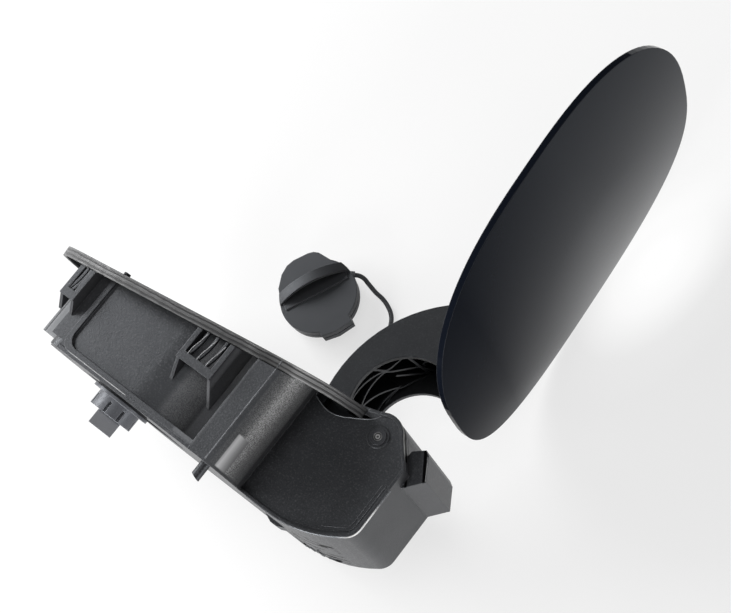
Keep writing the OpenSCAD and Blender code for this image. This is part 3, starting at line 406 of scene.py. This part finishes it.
def gloss(name, color, rough=0.06, ripple=0.02, edge=0.6):
    """Lacquered plastic with a faint orange peel, which mirrors less towards the hinge. Its edges are paler
    as a painted highlight.
    """
    material, tree, shader = new_material(name)
    coords = object_coords(tree)
    peel = noise(tree, coords, 180, 2, 0.4)
    dust = noise(tree, coords, 900, 6, 0.7)
    normal, edges = rounded(tree, edge)
    base = mix_colors(tree, dust, color, [c * 1.5 for c in color])
    # Edges mixed towards a paler grey: painted highlight
    tree.links.new(mix_colors(tree, edges, base, (0.05, 0.052, 0.056)), shader.inputs["Base Color"])
    tree.links.new(remap(tree, dust, 0.4, 0.8, rough, rough + 0.08), shader.inputs["Roughness"])
    mirror = slope(tree, split(tree, coords)["Y"], DOOR_FADE_Y, *DOOR_MIRROR)
    tree.links.new(mirror, shader.inputs["Specular IOR Level"])
    shader.inputs["Specular Tint"].default_value = DOOR_COOL
    bumps(tree, shader, normal, [(peel, ripple, 0.25)])
    return material


def rubber(name, dark, light, rough=(0.55, 0.75), edge=0.4):
    """Soft rubber: matt, with a bloom and fine pores."""
    material, tree, shader = new_material(name)
    coords = object_coords(tree)
    bloom = noise(tree, coords, 70, 5, 0.65)
    pores = noise(tree, coords, 3200, 2, 0.5)
    normal, edges = rounded(tree, edge)
    color = mix_colors(tree, bloom, dark, light)
    # Edges mixed towards a paler grey: painted highlight
    pale = [c * 2.5 + 0.03 for c in light]
    color = mix_colors(tree, calc(tree, "MULTIPLY", edges, 0.6), color, pale)
    tree.links.new(color, shader.inputs["Base Color"])
    tree.links.new(remap(tree, bloom, 0.3, 0.7, rough[0], rough[1]), shader.inputs["Roughness"])
    shader.inputs["Sheen Weight"].default_value = 0.12
    shader.inputs["Sheen Roughness"].default_value = 0.5
    shader.inputs["Specular Tint"].default_value = COOL
    bumps(tree, shader, normal, [(pores, 0.03, 0.5)])
    return material


# Grey levels across the seal, from its foot to its face: painted highlight on its lips and painted shade in
# the grooves between them, which the bumps follow too
LIP_LIGHT_AND_SHADE = [(0, 0.5), (0.12, 0.9), (0.26, 0.35), (0.34, 0.08), (0.42, 0.55), (0.62, 0.7), (0.7, 0.1),
        (0.78, 0.15), (0.86, 0.95), (1, 0.8)]
# Where the seal carries a painted highlight and where a painted shade, between these places along X
SEAL_LIGHT_X = (50, 110)
SEAL_HIGHLIGHT = [(0, 0), (0.35, 0.2), (0.6, 1), (0.78, 0.25), (0.85, 0)]
SEAL_SHADE = [(0.8, 0), (0.92, 0.7)]
SEAL_HIGHLIGHT_GREY = (0.5, 0.5, 0.5)


def lipped_rubber(name, dark, light):
    """Edge seal with two soft lips and the grooves between them, bumped and painted with highlight on the
    lips and shade in the grooves. It follows the crowned, sloping face.
    """
    material, tree, shader = new_material(name)
    coords = object_coords(tree)
    x, y, z = split(tree, coords)
    tilt = math.radians(MOUTH_TILT)
    along = calc(tree, "MULTIPLY", x, -math.sin(tilt))
    out = calc(tree, "MULTIPLY", calc(tree, "SUBTRACT", y, MOUTH_Y * MM), math.cos(tilt))
    crown = calc(tree, "MULTIPLY", calc(tree, "MULTIPLY", z, z), 0.5 / (CROWN_R * MM))
    height = calc(tree, "ADD", calc(tree, "ADD", along, out), crown)
    wobble = noise(tree, coords, 60, 3, 0.6)
    height = calc(tree, "ADD", height, remap(tree, wobble, 0.3, 0.7, -0.25 * MM, 0.25 * MM))
    lips = ramp(tree, slope(tree, height, (-SEAL_D, 0)), LIP_LIGHT_AND_SHADE)
    normal, _ = rounded(tree, 0.5)
    bloom = noise(tree, coords, 240, 5, 0.65)
    color = mix_colors(tree, lips, dark, light)
    color = mix_colors(tree, remap(tree, bloom, 0.35, 0.7, 0, 0.5), color, dark)
    # Painted highlight on the lips partway along, then painted shade towards the hinge end
    place = slope(tree, x, SEAL_LIGHT_X)
    painted_sheen = calc(tree, "MULTIPLY", ramp(tree, place, SEAL_HIGHLIGHT), lips)
    color = mix_colors(tree, painted_sheen, color, SEAL_HIGHLIGHT_GREY)
    color = mix_colors(tree, ramp(tree, place, SEAL_SHADE), color, dark)
    tree.links.new(color, shader.inputs["Base Color"])
    tree.links.new(remap(tree, bloom, 0.3, 0.7, 0.35, 0.6), shader.inputs["Roughness"])
    bumps(tree, shader, normal, [(lips, 0.5, 0.8), (bloom, 0.1, 0.3)])
    return material


def metal(name, dark, light, rough=(0.22, 0.4), edge=0.2):
    """Plated metal with fine drawn streaks."""
    material, tree, shader = new_material(name)
    coords = object_coords(tree)
    stretch = tree.nodes.new("ShaderNodeMapping")
    stretch.inputs["Scale"].default_value = (1, 1, 0.08)
    tree.links.new(coords, stretch.inputs["Vector"])
    streaks = noise(tree, stretch.outputs["Vector"], 4200, 3, 0.6)
    spots = noise(tree, coords, 260, 5, 0.7)
    normal, edges = rounded(tree, edge)
    color = mix_colors(tree, spots, dark, light)
    tree.links.new(mix_colors(tree, edges, color, light), shader.inputs["Base Color"])
    tree.links.new(remap(tree, streaks, 0.3, 0.7, rough[0], rough[1]), shader.inputs["Roughness"])
    shader.inputs["Metallic"].default_value = 1.0
    bumps(tree, shader, normal, [(streaks, 0.01, 0.3)])
    return material


# Grey levels of the pin end's turned rings, from its centre to its rim, painted as highlight and shade on
# the rings
RINGS = [(0, 0.05), (0.22, 0.08), (0.3, 0.5), (0.52, 0.38), (0.6, 0.03), (0.8, 0.06), (0.88, 0.3),
         (1, 0.1)]


def turned_end(name):
    """Dark pin whose riveted end shows turned rings about the hinge axis, bumped and painted with highlight
    and shade.
    """
    material, tree, shader = new_material(name)
    coords = object_coords(tree)
    x, y, _ = split(tree, coords)
    rings = ramp(tree, slope(tree, distance_from(tree, x, y, HINGE), (0, PIN_D / 2)), RINGS)
    spots = noise(tree, coords, 900, 4, 0.6)
    normal, edges = rounded(tree, 0.3)
    color = mix_colors(tree, remap(tree, spots, 0.3, 0.7, 0, 0.4), rings, (0.05, 0.05, 0.055))
    tree.links.new(color, shader.inputs["Base Color"])
    tree.links.new(remap(tree, spots, 0.3, 0.7, 0.3, 0.45), shader.inputs["Roughness"])
    shader.inputs["Metallic"].default_value = 0.6
    bumps(tree, shader, normal, [(rings, 0.3, 0.6), (edges, 0.05, 0.2)])
    return material


def clear_plastic(name):
    """Frosted light guide."""
    material, tree, shader = new_material(name)
    coords = object_coords(tree)
    frost = noise(tree, coords, 1500, 4, 0.6)
    normal, _ = rounded(tree, 0.3)
    color = mix_colors(tree, frost, (0.62, 0.66, 0.70), (0.80, 0.83, 0.86))
    tree.links.new(color, shader.inputs["Base Color"])
    tree.links.new(remap(tree, frost, 0.3, 0.7, 0.15, 0.3), shader.inputs["Roughness"])
    shader.inputs["Transmission Weight"].default_value = 0.6
    shader.inputs["IOR"].default_value = 1.49
    bumps(tree, shader, normal, [(frost, 0.02, 0.4)])
    return material


# Zones of the housing's colour: painted light and shade, and mould strokes. A zone is a pair of limits
# along X, Y and Z in millimetres
# Paler free end of the tub: painted light
FREE_END_X = (-60, 30)
FREE_END_LIGHT = (0.06, 0.06, 0.063)
# Painted highlight across the stippled step, growing along Y, and a painted reflection on its smooth patch
STEP_ZONE = [(78, 86), (-1.5, 60), (33, 63)]
STEP_CLIMB_Y = (0, 50)
STEP_SHADE_Z = (34, 64)
STEP_SHADE = [(0, 0.1), (0.25, 0.3), (0.5, 0.85), (0.62, 1), (0.76, 0.35), (0.9, 0.08)]
STEP_PIT = (0.012, 0.012, 0.012)
STEP_SHADED = (0.06, 0.06, 0.062)
STEP_HIGHLIGHT = (0.62, 0.62, 0.62)
PATCH_ZONE = [(78, 86), (-1.5, 14.5), (50.5, 59.5)]
PATCH_SHINE = [(0, 0), (0.4, 0.4), (0.8, 1), (1, 0.6)]
PATCH_SHADED = (0.1, 0.1, 0.102)
PATCH_REFLECTION = (0.46, 0.46, 0.465)
# Painted light on the shaded wall before the near clip and in the channel beside it
FLANK_ZONE = [(48, 60), (1, 40), (50, 64)]
FLANK_LIGHT = (0.16, 0.16, 0.163)
CHANNEL_ZONE = [(61, 72.5), (-1, 47), (44, 70.4)]
CHANNEL_DEPTH_Z = (54, 70)
CHANNEL_DEEP = (0.2, 0.202, 0.21)
CHANNEL_HIGH = (0.065, 0.066, 0.07)
MARKS_ZONE = [(97, 124), (-6, 5), (-25, 12)]
# Black bands: painted shade in the grooves beside the ear and on the end block
EAR_BAND = [(120, 134), (47, 61.6), (21.5, 24.6)]
# Here the first pair is measured across the end block, along a line turned by BLOCK_TURN from X
BLOCK_BANDS = [[(143.9, 145), (38, 62), (18.6, 19.4)], [(136.2, 137), (38, 62), (18.6, 19.4)]]
MARK_AND_SHADE_BLACK = (0.002, 0.002, 0.002)
# Paler plug of the lamp: painted light
PLUG_ZONE = [None, (-30, -13), None]
PLUG_LIGHT = (0.2, 0.203, 0.215)
# Painted highlight on the corner of the pocket rim and on the ear's outer side
CORNER_ZONE = [(128, 142), (9, 25), None]
EAR_ZONE = [(121, 135), (50, 62), None]
RIM_HIGHLIGHT = (0.75, 0.75, 0.74)


def step_zones(tree, axes, grit, color):
    """Stippled step beside the pocket, pale with a painted highlight, and the painted reflection on its
    smooth patch.
    """
    climb = slope(tree, axes["Y"], STEP_CLIMB_Y, 0.55, 1)
    across = ramp(tree, slope(tree, axes["Z"], STEP_SHADE_Z), STEP_SHADE)
    band = calc(tree, "MULTIPLY", zone(tree, axes, STEP_ZONE), climb)
    pale = mix_colors(tree, across, STEP_SHADED, STEP_HIGHLIGHT)
    grains = mix_colors(tree, remap(tree, grit, 0, 1, 0.12, 1), STEP_PIT, pale)
    color = mix_colors(tree, band, color, grains)
    shine = ramp(tree, slope(tree, axes["Z"], PATCH_ZONE[2]), PATCH_SHINE)
    smooth = mix_colors(tree, shine, PATCH_SHADED, PATCH_REFLECTION)
    return mix_colors(tree, zone(tree, axes, PATCH_ZONE, soft=0.3), color, smooth)


def clip_zones(tree, axes, grit, color):
    """Painted light on the grained wall before the near clip, and on the channel between the clip and the
    raised strip, paler deeper down.
    """
    flank = calc(tree, "MULTIPLY", zone(tree, axes, FLANK_ZONE, soft=1.5), remap(tree, grit, 0, 1, 0.3, 1))
    color = mix_colors(tree, flank, color, FLANK_LIGHT)
    grain = remap(tree, grit, 0, 1, 0.75, 1)
    channel = calc(tree, "MULTIPLY", zone(tree, axes, CHANNEL_ZONE, soft=0.6), grain)
    depths = mix_colors(tree, slope(tree, axes["Z"], CHANNEL_DEPTH_Z), CHANNEL_DEEP, CHANNEL_HIGH)
    return mix_colors(tree, channel, color, depths)


def marks_and_groove_shade(tree, coords, axes):
    """Mask of the mould strokes under the pocket, and of painted shade in the grooves on the end block and
    beside the ear.
    """
    scratch = tree.nodes.new("ShaderNodeMapping")
    scratch.inputs["Scale"].default_value = (95, 60, 380)
    scratch.inputs["Rotation"].default_value = (0, 0.12, 0)
    tree.links.new(coords, scratch.inputs["Vector"])
    strokes = remap(tree, noise(tree, scratch.outputs["Vector"], 1, 2, 0.4), 0.56, 0.6, 0, 1)
    marks_and_shade = calc(tree, "MULTIPLY", zone(tree, axes, MARKS_ZONE, soft=1), strokes)
    turn = math.radians(BLOCK_TURN)
    over = calc(tree, "ADD", calc(tree, "MULTIPLY", axes["X"], math.cos(turn)),
                calc(tree, "MULTIPLY", axes["Y"], math.sin(turn)))
    for limits in BLOCK_BANDS:
        band = zone(tree, [over, axes["Y"], axes["Z"]], limits, soft=0.25)
        marks_and_shade = calc(tree, "MAXIMUM", marks_and_shade, band)
    return calc(tree, "MAXIMUM", marks_and_shade, zone(tree, axes, EAR_BAND, soft=0.25))


def housing_zones(tree, coords, color):
    """Painted light on the free end, the painted highlight and reflection of the step, the painted light by
    the near clip, and the mould strokes with painted groove shade.
    """
    axes = split(tree, coords)
    color = mix_colors(tree, slope(tree, axes["X"], FREE_END_X, 0.5, 0), color, FREE_END_LIGHT)
    grit = remap(tree, noise(tree, coords, 2100, 3, 0.65), 0.4, 0.62, 0, 1)
    color = step_zones(tree, axes, grit, color)
    color = clip_zones(tree, axes, grit, color)
    marks_and_shade = marks_and_groove_shade(tree, coords, axes)
    return mix_colors(tree, marks_and_shade, color, MARK_AND_SHADE_BLACK), marks_and_shade


def lamp_zones(tree, coords, color):
    """Paler square plug behind the holder of the lamp, as painted light."""
    plug = zone(tree, split(tree, coords), PLUG_ZONE, soft=0.3)
    return mix_colors(tree, plug, color, PLUG_LIGHT), None


def rim_shine(tree, coords, color):
    """Painted highlight on the corner of the pocket rim, and on the outer side of the ear."""
    axes = split(tree, coords)
    ear = calc(tree, "MULTIPLY", zone(tree, axes, EAR_ZONE, soft=2), 0.6)
    painted_sheen = calc(tree, "MAXIMUM", zone(tree, axes, CORNER_ZONE, soft=3), ear)
    return mix_colors(tree, painted_sheen, color, RIM_HIGHLIGHT), None


# Grey of the edge wires, pale as a painted highlight
EDGE_DARK = (0.06, 0.062, 0.066)
EDGE_LIGHT = (0.11, 0.112, 0.118)

HOUSING = plastic("housing_plastic", (0.017, 0.0172, 0.0186), (0.027, 0.0272, 0.0292), rough=(0.32, 0.5),
                  grain=1300, depth=0.14, fleck=0.45, painted_sheen=0.9, extra=housing_zones)
# Materials of the edge wires, pale or bright as painted highlights
EDGE_HIGHLIGHT = plastic("painted_edge_highlight", EDGE_DARK, EDGE_LIGHT, rough=(0.14, 0.26), edge=0.1, depth=0.02)
RIM = plastic("painted_rim_highlight", EDGE_DARK, EDGE_LIGHT, rough=(0.14, 0.26), edge=0.1, depth=0.02, extra=rim_shine)
GLINT = plastic("painted_edge_glint", (0.2, 0.2, 0.205), (0.34, 0.34, 0.345), rough=(0.16, 0.3), edge=0.1,
                depth=0.02)
SEAL = lipped_rubber("seal_rubber", (0.02, 0.02, 0.021), (0.17, 0.171, 0.174))
BLACK_RUBBER = rubber("black_rubber", (0.014, 0.014, 0.015), (0.024, 0.024, 0.025))
STEEL = metal("steel", (0.5, 0.51, 0.53), (0.68, 0.69, 0.71))
PIN = turned_end("pin_steel")
BUSH = plastic("bush_plastic", (0.02, 0.02, 0.022), (0.032, 0.032, 0.035), edge=0.3, painted_sheen=0.8)
ARM = plastic("arm_plastic", (0.009, 0.0091, 0.0099), (0.014, 0.0142, 0.0153), rough=(0.34, 0.48),
              depth=0.04, specular=0.4, fleck=0.2, painted_sheen=0.8)
PANEL = plastic("door_panel_plastic", (0.010, 0.010, 0.011), (0.016, 0.016, 0.018), rough=(0.25, 0.4),
                painted_sheen=1)
DOOR = gloss("door_gloss", (0.004, 0.0052, 0.0085))
LOCK = plastic("lock_plastic", (0.13, 0.132, 0.136), (0.18, 0.182, 0.187), edge=2, fleck=0.1, painted_sheen=0.2)
BRASS = metal("brass", (0.5, 0.36, 0.14), (0.68, 0.52, 0.24))
LAMP = plastic("lamp_plastic", (0.085, 0.088, 0.098), (0.125, 0.128, 0.14), rough=(0.3, 0.45), fleck=0.15,
               extra=lamp_zones)
LENS = clear_plastic("lens_clear")
BOARD = plastic("board_green", (0.02, 0.09, 0.04), (0.04, 0.14, 0.07))
CAP = rubber("cap_rubber", (0.015, 0.0155, 0.017), (0.023, 0.0236, 0.026), rough=(0.42, 0.6), edge=0.6)
TETHER_RUBBER = rubber("tether_rubber", (0.045, 0.046, 0.048), (0.07, 0.071, 0.074))

LOOKS = {
    "housing": HOUSING, "rim_seal": SEAL, "bump_stops": BLACK_RUBBER, "inlet_seal": BLACK_RUBBER,
    "hinge_pin": PIN, "bush_near": BUSH, "bush_far": BUSH, "hinge_spring": STEEL,
    "door_arm": ARM, "arm_screws": STEEL, "door_inner": PANEL, "door_skin": DOOR,
    "door_striker": ARM, "striker_screws": STEEL, "lock_case": LOCK, "lock_lid": LOCK,
    "lock_screws": STEEL, "lock_motor": STEEL, "lock_spindle": BRASS, "lock_bolt": STEEL,
    "lamp_body": LAMP, "lamp_seal": BLACK_RUBBER, "lamp_lens": LENS, "lamp_board": BOARD,
    "cap_body": CAP, "cap_seal": BLACK_RUBBER, "tether": TETHER_RUBBER, "tether_eyelet": TETHER_RUBBER,
    "tether_anchor": TETHER_RUBBER,
}


def paint(piece, material):
    if piece.material_slots:
        for place in piece.material_slots:
            place.material = material
    else:
        piece.data.materials.append(material)


for node, look in LOOKS.items():
    paint(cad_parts[node], look)
paint(tether, TETHER_RUBBER)
for piece in (pocket_rim, ear_edge):
    paint(piece, RIM)
for piece in pocket_steps + strip_lines:
    paint(piece, EDGE_HIGHLIGHT)
for piece in wall_lines + finger_lines + [block_edge]:
    paint(piece, GLINT)
paint(web, HOUSING)


# Floor, lamps and world
# The floor's side and its distance under the part in metres, and its grey
FLOOR_SIZE = 14
FLOOR_DROP = 0.0002
FLOOR_GREY = (0.93, 0.93, 0.93, 1)
# Share of plain white in what the camera and mirroring surfaces see of the floor
FLOOR_WHITE = 0.65
# The share rises to 1 far away, and beside the foot of the door, where the white is painted light that
# lifts the door's shadow and makes a painted reflection in the door. Reaches are distances in millimetres
FOOT = (134, 212)
FOOT_REACH = (6, 46)
FOOT_FALL = [(0, 0), (0.4, 0.16), (0.75, 0.8), (1, 1)]
FAR_REACH = (350, 1100)


def add_mirror_white(tree, shader):
    """Lets the camera and mirroring surfaces see a share of plain white in place of the lit floor."""
    glow = tree.nodes.new("ShaderNodeEmission")
    glow.inputs["Strength"].default_value = 1.0
    path = tree.nodes.new("ShaderNodeLightPath")
    seen = path.outputs["Is Camera Ray"]
    for ray in ("Is Glossy Ray", "Is Transmission Ray"):
        seen = calc(tree, "MAXIMUM", seen, path.outputs[ray])
    x, y, _ = split(tree, tree.nodes.new("ShaderNodeNewGeometry").outputs["Position"])
    foot = slope(tree, distance_from(tree, x, y, FOOT, y_share=0.5), FOOT_REACH, 1, 0)
    far = slope(tree, distance_from(tree, x, y), FAR_REACH)
    whitest = calc(tree, "MAXIMUM", ramp(tree, foot, FOOT_FALL), far)
    white = remap(tree, whitest, 0, 1, FLOOR_WHITE, 1)
    mixed = tree.nodes.new("ShaderNodeMixShader")
    tree.links.new(calc(tree, "MULTIPLY", seen, white), mixed.inputs["Fac"])
    tree.links.new(shader.outputs["BSDF"], mixed.inputs[1])
    tree.links.new(glow.outputs["Emission"], mixed.inputs[2])
    tree.links.new(mixed.outputs["Shader"], tree.nodes["Material Output"].inputs["Surface"])


def add_floor():
    bpy.ops.mesh.primitive_plane_add(size=FLOOR_SIZE, location=(0, 0.1, TABLE_Z - FLOOR_DROP))
    floor = bpy.context.object
    floor.name = "floor"
    material, tree, shader = new_material("floor")
    shader.inputs["Base Color"].default_value = FLOOR_GREY
    shader.inputs["Roughness"].default_value = 0.9
    shader.inputs["Specular IOR Level"].default_value = 0.1
    add_mirror_white(tree, shader)
    floor.data.materials.append(material)


# Each lamp's name, place and aim in metres, sides in metres and power in watts
MIDDLE = (0.05, 0.06, 0)
LAMPS = [("left", (-1.3, 0.2, 0.85), MIDDLE, (0.8, 0.8), 19),
         ("low_left", (-1.1, -0.6, 0.6), MIDDLE, (0.8, 0.8), 15),
         ("front", (0.2, -1.35, 0.35), MIDDLE, (0.7, 0.7), 20),
         ("top", (0.1, 0.1, 1.6), MIDDLE, (0.8, 0.8), 4),
         ("right", (1.35, -0.15, 0.1), (0.08, 0.02, 0), (0.6, 0.3), 6)]
WORLD_STRENGTH = 0.07


def add_area(name, place, aim, size, power):
    data = bpy.data.lights.new(name, "AREA")
    data.shape = "RECTANGLE"
    data.size, data.size_y = size
    data.energy = power
    lamp = bpy.data.objects.new(name, data)
    bpy.context.collection.objects.link(lamp)
    lamp.location = place
    lamp.rotation_euler = (Vector(aim) - Vector(place)).to_track_quat("-Z", "Y").to_euler()


def add_world():
    world = bpy.data.worlds.new("world")
    bpy.context.scene.world = world
    world.use_nodes = True
    background = world.node_tree.nodes["Background"]
    background.inputs["Color"].default_value = (1, 1, 1, 1)
    background.inputs["Strength"].default_value = WORLD_STRENGTH


add_floor()
add_world()
for name, place, aim, size, power in LAMPS:
    add_area(name, place, aim, size, power)

view = bpy.context.scene.view_settings
view.view_transform = "Standard"
